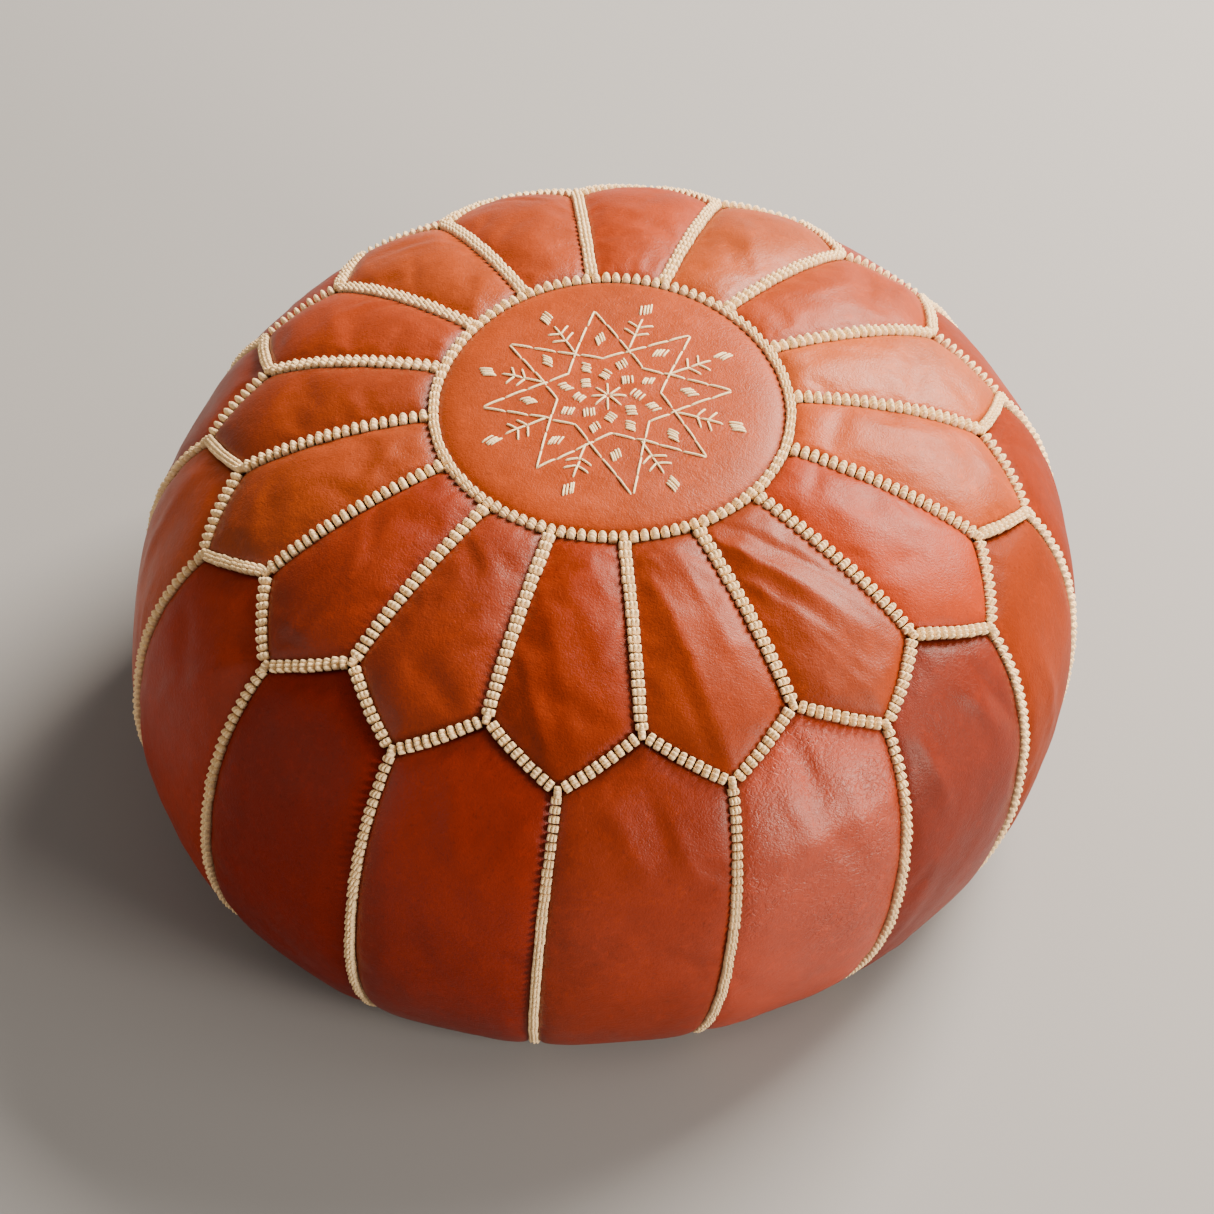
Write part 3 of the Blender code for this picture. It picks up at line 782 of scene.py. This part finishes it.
def braid_piece(
    name, node, seams, knots, spacing, surface, pressed=lambda share: 0.0, knit_from=1.0
):
    """The knots along some seams. Pressed gives how deep they lie at a share of a seam,
    and the knots run into each other past knit_from."""
    dice = random.Random(name)
    batch = Batch()
    width, height = knots
    for angle, run in seams:
        for place, along, across, normal, size, share in zip(*along_seam(angle, run, spacing)):
            knitted = share > knit_from
            shape, faces = knot(
                width * dice.uniform(0.95, 1.05) * (0.94 if knitted else 1.0),
                size * dice.uniform(0.85, 0.92) * (1.25 if knitted else 1.0),
                height * dice.uniform(0.93, 1.06),
                0.55 if knitted else dice.uniform(-0.06, 0.06),
            )
            turn = math.radians(dice.uniform(-4, 4))
            x = shape[:, :1] * math.cos(turn) - shape[:, 1:2] * math.sin(turn)
            x = x + dice.uniform(-0.00020, 0.00020)
            y = shape[:, :1] * math.sin(turn) + shape[:, 1:2] * math.cos(turn)
            z = shape[:, 2:] + KNOT_LIFT - pressed(share)
            batch.add(place + x * across + y * along + z * normal, faces)
    piece = batch.piece(name, surface, "cream_braid")
    if node:
        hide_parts(node)


def ring_seam(run):
    angle = np.linspace(0, 2 * math.pi, 721)
    return angle, np.full_like(angle, run)


def radial_seam(index):
    run = np.linspace(RING_RUN + RING_KNOTS[0] * 0.5, PEAK_RUN - 0.0015, 80)
    return np.full_like(run, seam_angle(index)), run


def zigzag_seams():
    """Both arms of the zigzag at each radial seam, and one knot at each corner."""
    seams = []
    across = np.linspace(-0.5, 0.5, 5) * ZIGZAG_SPACING[0]
    for index in range(SEAM_COUNT):
        for side in (-1, 1):
            offset = np.linspace(0.030, 0.472, 40)
            seams.append((seam_angle(index) + side * PITCH * offset, zigzag_run(offset)))
        for offset in (0, 0.5):
            run = zigzag_run(np.full(5, offset))
            seams.append((seam_angle(index + offset) + across / radius_at(run), run))
    return seams


def side_seam(index):
    run = np.linspace(VALLEY_RUN + 0.0022, BASE_RUN - BRAID_WIDTH * 0.55, 240)
    angle = np.full_like(run, seam_angle(index + 0.5))
    return angle + twist(angle, run), run


def braids(surface):
    rings = [ring_seam(RING_RUN)]
    braid_piece("ring_knots", "ring_braid", rings, RING_KNOTS, RING_SPACING, surface)
    for index in range(SEAM_COUNT):
        name = f"radial_knots_{index + 1:02d}"
        node = f"radial_braid_{index + 1:02d}"
        braid_piece(name, node, [radial_seam(index)], RADIAL_KNOTS, RADIAL_SPACING, surface)
    seams = zigzag_seams()
    braid_piece("zigzag_knots", "skirt_braid", seams, ZIGZAG_KNOTS, ZIGZAG_SPACING, surface)
    for index in range(SEAM_COUNT):
        name = f"side_knots_{index + 1:02d}"
        seams = [side_seam(index)]
        braid_piece(name, None, seams, SIDE_KNOTS, SIDE_SPACING, surface, pressed_under, KNIT_FROM)
    braid_piece(
        "base_knots",
        "base_braid",
        [ring_seam(BASE_RUN)],
        BASE_KNOTS,
        BASE_SPACING,
        surface,
        pressed=lambda share: PRESSED_DEPTH,
    )


# ------------------------------------------------------------------- embroidery

def polar(radius, angle):
    """A place on the medallion, in shares of its radius."""
    return np.array([radius * math.cos(angle), radius * math.sin(angle)])


def stitch(start, end):
    """One thread that comes up at the start and goes down at the end."""
    sides, rings = THREAD_SIDES, THREAD_RINGS
    share = np.linspace(0, 1, rings)
    place = start + (end - start) * share[:, None]
    radius = np.hypot(place[:, 0], place[:, 1]) * MEDALLION_RADIUS
    angle = np.arctan2(place[:, 1], place[:, 0])
    run = run_at_radius(radius)
    arch = 0.0009 * np.sin(math.pi * share) ** 0.35 - 0.0005
    lift = medallion_lift(angle, run) + arch
    centre = skin(angle, run, lift)
    up = skin(angle, run, lift + 0.001) - centre
    up /= np.linalg.norm(up, axis=1, keepdims=True)
    along = np.gradient(centre, axis=0)
    across = np.cross(along, up)
    across /= np.linalg.norm(across, axis=1, keepdims=True)
    round_end = np.sqrt(np.maximum(1 - np.abs(2 * share - 1) ** 10, 0.05))
    points = []
    for side in range(sides):
        turn = 2 * math.pi * side / sides
        reach = THREAD_RADIUS * round_end[:, None]
        points.append(centre + reach * (math.cos(turn) * across + math.sin(turn) * up))
    faces = grid_faces(sides, rings, wrap=True)
    faces.append(tuple(side * rings for side in range(sides)))
    faces.append(tuple(side * rings + rings - 1 for side in reversed(range(sides))))
    return np.concatenate(points), faces


def line_of_stitches(start, end, count):
    """A straight line of back stitches, which overlap a little."""
    step = (end - start) / count
    return [(start + step * index, start + step * (index + 1.08)) for index in range(count)]


def hatch(radius, angle, direction, stacking, size=0.065, gap=0.018):
    """Four short parallel stitches around a place."""
    centre = polar(radius, angle)
    half = polar(size / 2, direction)
    stack = polar(gap, stacking)
    middles = [centre + stack * (number - 1.5) for number in range(4)]
    return [(middle - half, middle + half) for middle in middles]


def star_stitches(turn, slip):
    """The two lines that leave one tip of the star."""
    tip = polar(0.685, turn) + slip
    stitches = []
    for side in (-1, 1):
        notch = polar(0.29, turn + side * math.radians(45))
        stitches += line_of_stitches(tip, notch, 4)
    return stitches


def feather_stitches(turn):
    """A stem with two pairs of barbs, between two tips of the star."""
    direction = turn + math.radians(22.5)
    stitches = line_of_stitches(polar(0.38, direction), polar(0.64, direction), 2)
    for radius in (0.50, 0.56):
        root = polar(radius, direction)
        for side in (65, -60):
            stitches.append((root, root + polar(0.085, direction + math.radians(side))))
    return stitches


def embroidery(surface):
    stitches = []
    for point in range(STAR_POINTS):
        turn = STAR_TURN + 2 * math.pi * point / STAR_POINTS
        between = turn + math.radians(23)
        stitches += star_stitches(turn, TIP_SLIPS[point])
        stitches += feather_stitches(turn)
        stitches.append((polar(0.008, turn), polar(0.105, turn - math.radians(3))))
        stitches += hatch(0.163, turn, turn + math.radians(45), turn - math.radians(40))
        stitches += hatch(0.255, between, between + math.radians(40), between - math.radians(28))
        stitches += hatch(0.45, turn, turn + math.radians(9), turn - math.radians(50), 0.075)
        lean = between + math.radians(10)
        stitches += hatch(0.725, between, lean, between - math.radians(50), 0.088)
    batch = Batch()
    dice = random.Random("embroidery")
    for start, end in stitches:
        slip = np.array([dice.uniform(-STITCH_SLIP, STITCH_SLIP) for _ in range(2)])
        batch.add(*stitch(start + slip, end + slip))
    piece = batch.piece("embroidery_thread", surface, "cream_thread")
    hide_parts("embroidered_star")


# -------------------------------------------------------------------------- zip

def box_shape(low, high):
    """A box from its lowest to its highest corner."""
    corners = ((low[0], low[1]), (high[0], low[1]), (high[0], high[1]), (low[0], high[1]))
    points = [(*corner, z) for z in (low[2], high[2]) for corner in corners]
    faces = [(3, 2, 1, 0), (4, 5, 6, 7), (0, 1, 5, 4), (1, 2, 6, 5), (2, 3, 7, 6), (3, 0, 4, 7)]
    return np.array(points), faces


def bevel(piece, width):
    modifier = piece.modifiers.new("Edges", "BEVEL")
    modifier.width = width
    modifier.segments = 2
    modifier.limit_method = "ANGLE"


def zip_tape(side, name, surface):
    """One tape, in two layers: the flat tape and the thick edge that holds its teeth."""
    middle = (TEETH_LOW + TEETH_HIGH) / 2
    tape_end = ZIP_END + TAPE_TAIL
    tape = Batch()
    for inner, outer, half in TAPE_LAYERS:
        y = sorted((side * inner, side * outer))
        tape.add(*box_shape((-tape_end, y[0], middle - half), (tape_end, y[1], middle + half)))
    piece = tape.piece(f"zip_fabric_{name}", surface, "zip_fabric")
    bevel(piece, ZIP_BEVEL)
    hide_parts(f"zip_tape_{name}")


def zip_teeth(side, name, surface):
    """The teeth on one tape, and its two end stops."""
    teeth = Batch()
    count = int(2 * (ZIP_END - TEETH_END) / TOOTH_PITCH)
    for index in range(count):
        x = -ZIP_END + TEETH_END + TOOTH_PITCH * (index + (0.5 if side > 0 else 0.0))
        y = sorted((side * TOOTH_INNER, side * TOOTH_OUTER))
        low = (x - TOOTH_HALF, y[0], TEETH_LOW)
        teeth.add(*box_shape(low, (x + TOOTH_HALF, y[1], TEETH_HIGH)))
    for end in (-1, 1):
        x = end * (ZIP_END - STOP_END)
        y = sorted((side * STOP_INNER, side * STOP_OUTER))
        low = (x - STOP_HALF, y[0], TEETH_LOW)
        teeth.add(*box_shape(low, (x + STOP_HALF, y[1], TEETH_HIGH)))
    piece = teeth.piece(f"zip_teeth_{name}", surface, "brass")
    bevel(piece, ZIP_BEVEL)


def metal_copy(node, name, body, surface, edge):
    """The CAD piece's own shape with softened edges."""
    mesh = bpy.data.objects[node].data.copy()
    mesh.materials.clear()
    mesh.materials.append(surface)
    piece = bpy.data.objects.new(name, mesh)
    bpy.context.scene.collection.objects.link(piece)
    bevel(piece, edge)
    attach(piece, body)
    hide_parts(node)


# -------------------------------------------------------------------- materials

class Nodes:
    """A short way to add and join shader nodes."""

    def __init__(self, name):
        self.material = bpy.data.materials.new(name)
        self.material.use_nodes = True
        self.tree = self.material.node_tree
        self.shader = self.tree.nodes["Principled BSDF"]

    def add(self, kind, inputs=None, **settings):
        node = self.tree.nodes.new(kind)
        for key, value in settings.items():
            setattr(node, key, value)
        for key, value in (inputs or {}).items():
            self.put(node.inputs[key], value)
        return node

    def put(self, socket, value):
        if isinstance(value, bpy.types.NodeSocket):
            self.tree.links.new(value, socket)
        else:
            socket.default_value = value

    def math(self, operation, *values):
        node = self.add("ShaderNodeMath", dict(enumerate(values)), operation=operation)
        return node.outputs[0]

    def mix(self, factor, first, second, blend="MIX"):
        node = self.add("ShaderNodeMix", data_type="RGBA", blend_type=blend)
        self.put(node.inputs[0], factor)
        self.put(node.inputs[6], first)
        self.put(node.inputs[7], second)
        return node.outputs[2]

    def noise(self, place, scale, detail=3.0, roughness=0.5, distortion=0.0):
        inputs = {"Vector": place, "Scale": scale, "Detail": detail}
        inputs["Roughness"] = roughness
        inputs["Distortion"] = distortion
        return self.add("ShaderNodeTexNoise", inputs).outputs["Fac"]

    def cell_edges(self, place, scale):
        """Distance to the nearest edge of a net of cells."""
        inputs = {"Vector": place, "Scale": scale}
        node = self.add("ShaderNodeTexVoronoi", inputs, feature="DISTANCE_TO_EDGE")
        return node.outputs["Distance"]

    def ramp(self, value, stops):
        node = self.add("ShaderNodeValToRGB", {"Fac": value})
        ramp = node.color_ramp
        while len(ramp.elements) < len(stops):
            ramp.elements.new(0.5)
        for element, (position, colour) in zip(ramp.elements, stops):
            element.position = position
            element.color = colour
        return node.outputs["Color"]

    def bump(self, height, strength, distance, below=None):
        inputs = {"Height": height, "Strength": strength, "Distance": distance}
        if below is not None:
            inputs["Normal"] = below
        return self.add("ShaderNodeBump", inputs).outputs[0]

    def set(self, **values):
        for name, value in values.items():
            self.shader.inputs[name.replace("_", " ")].default_value = value


def grey(value):
    return (value, value, value, 1.0)


def tinted(colour, shade):
    """A leather colour made lighter or darker, partly as painted light, and more or less orange."""
    light, warm, _ = shade
    return (light * colour[0], light * warm * colour[1], light * warm * colour[2])


def shaded(colour, factor):
    return tuple(min(factor * part, 1.0) for part in colour) + (1.0,)


def leather_colour(nodes, place, clouds, colour):
    """Mottled dye, lighter patches at random, painted shade next to the seams and fine specks."""
    blotches = nodes.ramp(nodes.noise(place, 11, 4, 0.6, 0.5), [(0.32, grey(0)), (0.70, grey(1))])
    tone = nodes.mix(0.35, blotches, clouds)
    base = nodes.mix(tone, shaded(colour, 0.74), shaded(colour, 1.20))
    # Lighter patches at random over the leather.
    pale_patches = nodes.noise(place, 170, 4, 0.7, 0.6)
    pale_patches = nodes.ramp(pale_patches, [(0.52, grey(0)), (0.70, grey(0.45))])
    base = nodes.mix(pale_patches, base, shaded(colour, 1.40))
    # Painted shade: the leather is darkened next to the seams, in the tuck beside the braids.
    seam = nodes.add("ShaderNodeAttribute", attribute_name="seam").outputs["Fac"]
    base = nodes.mix(nodes.math("MULTIPLY", seam, 0.70), base, shaded(colour, 0.22))
    specks = nodes.ramp(nodes.noise(place, 420, 2, 0.6), [(0.60, grey(1)), (0.74, grey(0.78))])
    return nodes.mix(1.0, base, specks, "MULTIPLY")


def leather_grain(nodes, place, gloss):
    """Ripples, a net of creases that is deeper in glossy leather, pebbles and pores."""
    ripples = nodes.noise(place, 45, 4, 0.55, 0.8)
    normal = nodes.bump(ripples, 0.30, 0.0016)
    wobble = nodes.math("MULTIPLY", nodes.noise(place, 110, 4, 0.65), 0.012)
    bent = nodes.add("ShaderNodeVectorMath", {0: place, 1: wobble}).outputs[0]
    creases = nodes.ramp(nodes.cell_edges(bent, 230.0), [(0.0, grey(0)), (0.24, grey(1))])
    creased = nodes.ramp(nodes.noise(place, 16, 2, 0.5), [(0.38, grey(0.15)), (0.62, grey(1))])
    creases = nodes.math("MULTIPLY", nodes.math("SUBTRACT", creases, 1.0), creased)
    normal = nodes.bump(creases, 1.6 * gloss**2, 0.0005, normal)
    pebbles = nodes.noise(place, 520, 3, 0.6, 0.4)
    normal = nodes.bump(pebbles, 0.40, 0.0006, normal)
    pores = nodes.ramp(nodes.cell_edges(place, 620.0), [(0.0, grey(0)), (0.20, grey(1))])
    return nodes.bump(pores, 0.20, 0.0003, normal)


def leather_material(name, colour, seed, roughness=0.42, gloss=0.36):
    """Vegetable-tanned goat leather: mottled dye, fine grain and creases, and painted shade at the
    seams.
    """
    nodes = Nodes(name)
    where = nodes.add("ShaderNodeTexCoord").outputs["Object"]
    shift = (seed, 0.37 * seed, 0.71 * seed)
    place = nodes.add("ShaderNodeVectorMath", {0: where, 1: shift}).outputs[0]
    clouds = nodes.ramp(nodes.noise(place, 60, 5, 0.65), [(0.30, grey(0)), (0.75, grey(1))])
    rough = nodes.math("MULTIPLY_ADD", clouds, 0.16, roughness - 0.06)
    nodes.put(nodes.shader.inputs["Base Color"], leather_colour(nodes, place, clouds, colour))
    nodes.put(nodes.shader.inputs["Roughness"], rough)
    nodes.put(nodes.shader.inputs["Normal"], leather_grain(nodes, place, gloss))
    nodes.set(Specular_IOR_Level=gloss, Coat_Weight=0.02, Coat_Roughness=0.30)
    return nodes.material


def cord_material(name, colour):
    """Matt cotton cord: fine twisted fibres and slightly uneven dye."""
    nodes = Nodes(name)
    place = nodes.add("ShaderNodeTexCoord").outputs["Object"]
    tone = nodes.ramp(nodes.noise(place, 260, 3, 0.6), [(0.25, grey(0)), (0.65, grey(1))])
    base = nodes.mix(tone, shaded(colour, 0.88), shaded(colour, 1.0))
    strands = nodes.ramp(nodes.noise(place, 1300, 3, 0.6), [(0.32, grey(0.84)), (0.52, grey(1))])
    base = nodes.mix(1.0, base, strands, "MULTIPLY")
    nodes.put(nodes.shader.inputs["Base Color"], base)
    nodes.set(Roughness=0.75, Specular_IOR_Level=0.2)
    normal = nodes.bump(nodes.noise(place, 900, 3, 0.6), 0.80, 0.0007)
    nodes.put(nodes.shader.inputs["Normal"], normal)
    return nodes.material


def woven_material(name, colour):
    """Zip tape: fine ribs along it and across it."""
    nodes = Nodes(name)
    place = nodes.add("ShaderNodeTexCoord").outputs["Object"]
    ribs = [
        nodes.add("ShaderNodeTexWave", {"Vector": place, "Scale": 260.0}, bands_direction=axis)
        for axis in "XY"
    ]
    weave = nodes.math("MULTIPLY", ribs[0].outputs["Fac"], ribs[1].outputs["Fac"])
    base = nodes.mix(weave, shaded(colour, 0.6), shaded(colour, 1.25))
    nodes.put(nodes.shader.inputs["Base Color"], base)
    nodes.set(Roughness=0.85, Specular_IOR_Level=0.25)
    nodes.put(nodes.shader.inputs["Normal"], nodes.bump(weave, 0.5, 0.0003))
    return nodes.material


def brass_material(name, colour):
    """Worn brass: smears, fine scratches and darker spots."""
    nodes = Nodes(name)
    place = nodes.add("ShaderNodeTexCoord").outputs["Object"]
    smears = nodes.ramp(nodes.noise(place, 240, 4, 0.6, 0.8), [(0.35, grey(0)), (0.68, grey(1))])
    nodes.put(
        nodes.shader.inputs["Base Color"],
        nodes.mix(smears, shaded(colour, 0.62), shaded(colour, 1.05)),
    )
    nodes.put(nodes.shader.inputs["Roughness"], nodes.math("MULTIPLY_ADD", smears, -0.16, 0.44))
    nodes.set(Metallic=1.0)
    scratches = nodes.noise(place, 2400, 2, 0.5, 2.0)
    nodes.put(nodes.shader.inputs["Normal"], nodes.bump(scratches, 0.10, 0.0001))
    return nodes.material


def stuffing_material(name):
    """Off-white textile waste: soft fibres in uneven tufts."""
    nodes = Nodes(name)
    place = nodes.add("ShaderNodeTexCoord").outputs["Object"]
    tufts = nodes.noise(place, 60, 6, 0.7, 1.0)
    base = nodes.mix(tufts, TUFT_SHADOW, TUFT_LIGHT)
    nodes.put(nodes.shader.inputs["Base Color"], base)
    nodes.set(Roughness=0.95, Sheen_Weight=0.3)
    nodes.put(nodes.shader.inputs["Normal"], nodes.bump(tufts, 0.8, 0.004))
    return nodes.material


def plain_material(name, colour, roughness):
    nodes = Nodes(name)
    nodes.set(Base_Color=(*colour, 1.0), Roughness=roughness)
    return nodes.material


# ------------------------------------------------------------- floor and lights

def add_floor():
    reach = FLOOR_REACH
    corners = [(-reach, -reach, 0), (reach, -reach, 0), (reach, reach, 0), (-reach, reach, 0)]
    mesh = make_mesh("floor", corners, [(0, 1, 2, 3)])
    mesh.materials.append(plain_material("pale_floor", FLOOR_COLOUR, 0.9))
    floor = bpy.data.objects.new("floor", mesh)
    bpy.context.scene.collection.objects.link(floor)


def aim(obj, target, roll=0.0):
    direction = Vector(target) - obj.location
    turn = direction.to_track_quat("-Z", "Y").to_matrix().to_4x4()
    turn = turn @ Matrix.Rotation(roll, 4, "Z")
    obj.rotation_euler = turn.to_euler()


def add_light(name, place, width, power, colour):
    data = bpy.data.lights.new(name, "AREA")
    data.shape = "RECTANGLE"
    data.size = data.size_y = width
    data.energy = power
    data.color = colour
    light = bpy.data.objects.new(name, data)
    bpy.context.scene.collection.objects.link(light)
    light.location = place
    aim(light, BODY_MIDDLE)


def add_lights():
    for name, (place, width, power, colour) in LIGHTS.items():
        add_light(name, place, width, power, colour)
    world = bpy.data.worlds.new("soft_grey")
    world.use_nodes = True
    background = world.node_tree.nodes["Background"]
    background.inputs["Color"].default_value = ROOM_COLOUR
    background.inputs["Strength"].default_value = ROOM_STRENGTH
    bpy.context.scene.world = world


def add_camera():
    data = bpy.data.cameras.new("camera")
    data.lens = CAMERA_LENS
    data.sensor_width = 36.0
    camera = bpy.data.objects.new("camera", data)
    bpy.context.scene.collection.objects.link(camera)
    camera.location = CAMERA_PLACE
    aim(camera, CAMERA_TARGET, CAMERA_ROLL)
    bpy.context.scene.camera = camera


def panel_materials(kind, tone, shades, first_seed):
    """One leather material for each panel round the body."""
    return [
        leather_material(
            f"{kind}_{index + 1:02d}", tinted(tone, shade), first_seed + index, gloss=shade[2]
        )
        for index, shade in enumerate(shades)
    ]


def leather():
    top = top_panels(panel_materials("top_leather", COGNAC, TOP_TINTS_AND_PAINTED_LIGHT, 0))
    side = side_panels(panel_materials("side_leather", RED_BROWN, SIDE_TINTS_AND_PAINTED_LIGHT, 20))
    middle = medallion_panel(leather_material("medallion_leather", COGNAC, 50, gloss=0.20))
    base = leather_material("base_leather", RED_BROWN, 60, roughness=0.5, gloss=0.22)
    settle(top + side)
    leather_pieces(top)
    leather_pieces(side)
    leather_pieces([middle])
    leather_pieces([base_panel(1, base), base_panel(-1, base)])


def zip_pieces():
    metal = brass_material("brass", BRASS)
    fabric = woven_material("zip_fabric", ZIP_BROWN)
    for side, name in ((1, "back"), (-1, "front")):
        zip_tape(side, name, fabric)
        zip_teeth(side, name, metal)
    metal_copy("zip_slider", "slider_metal", "slider", metal, SLIDER_BEVEL)
    metal_copy("zip_pull", "pull_metal", "pull", metal, ZIP_BEVEL)


def build():
    add_camera()
    add_floor()
    add_lights()
    leather()
    braids(cord_material("cream_cord", CREAM))
    embroidery(cord_material("cream_thread", THREAD_CREAM))
    stuffing_piece(stuffing_material("stuffing"))
    zip_pieces()


build()
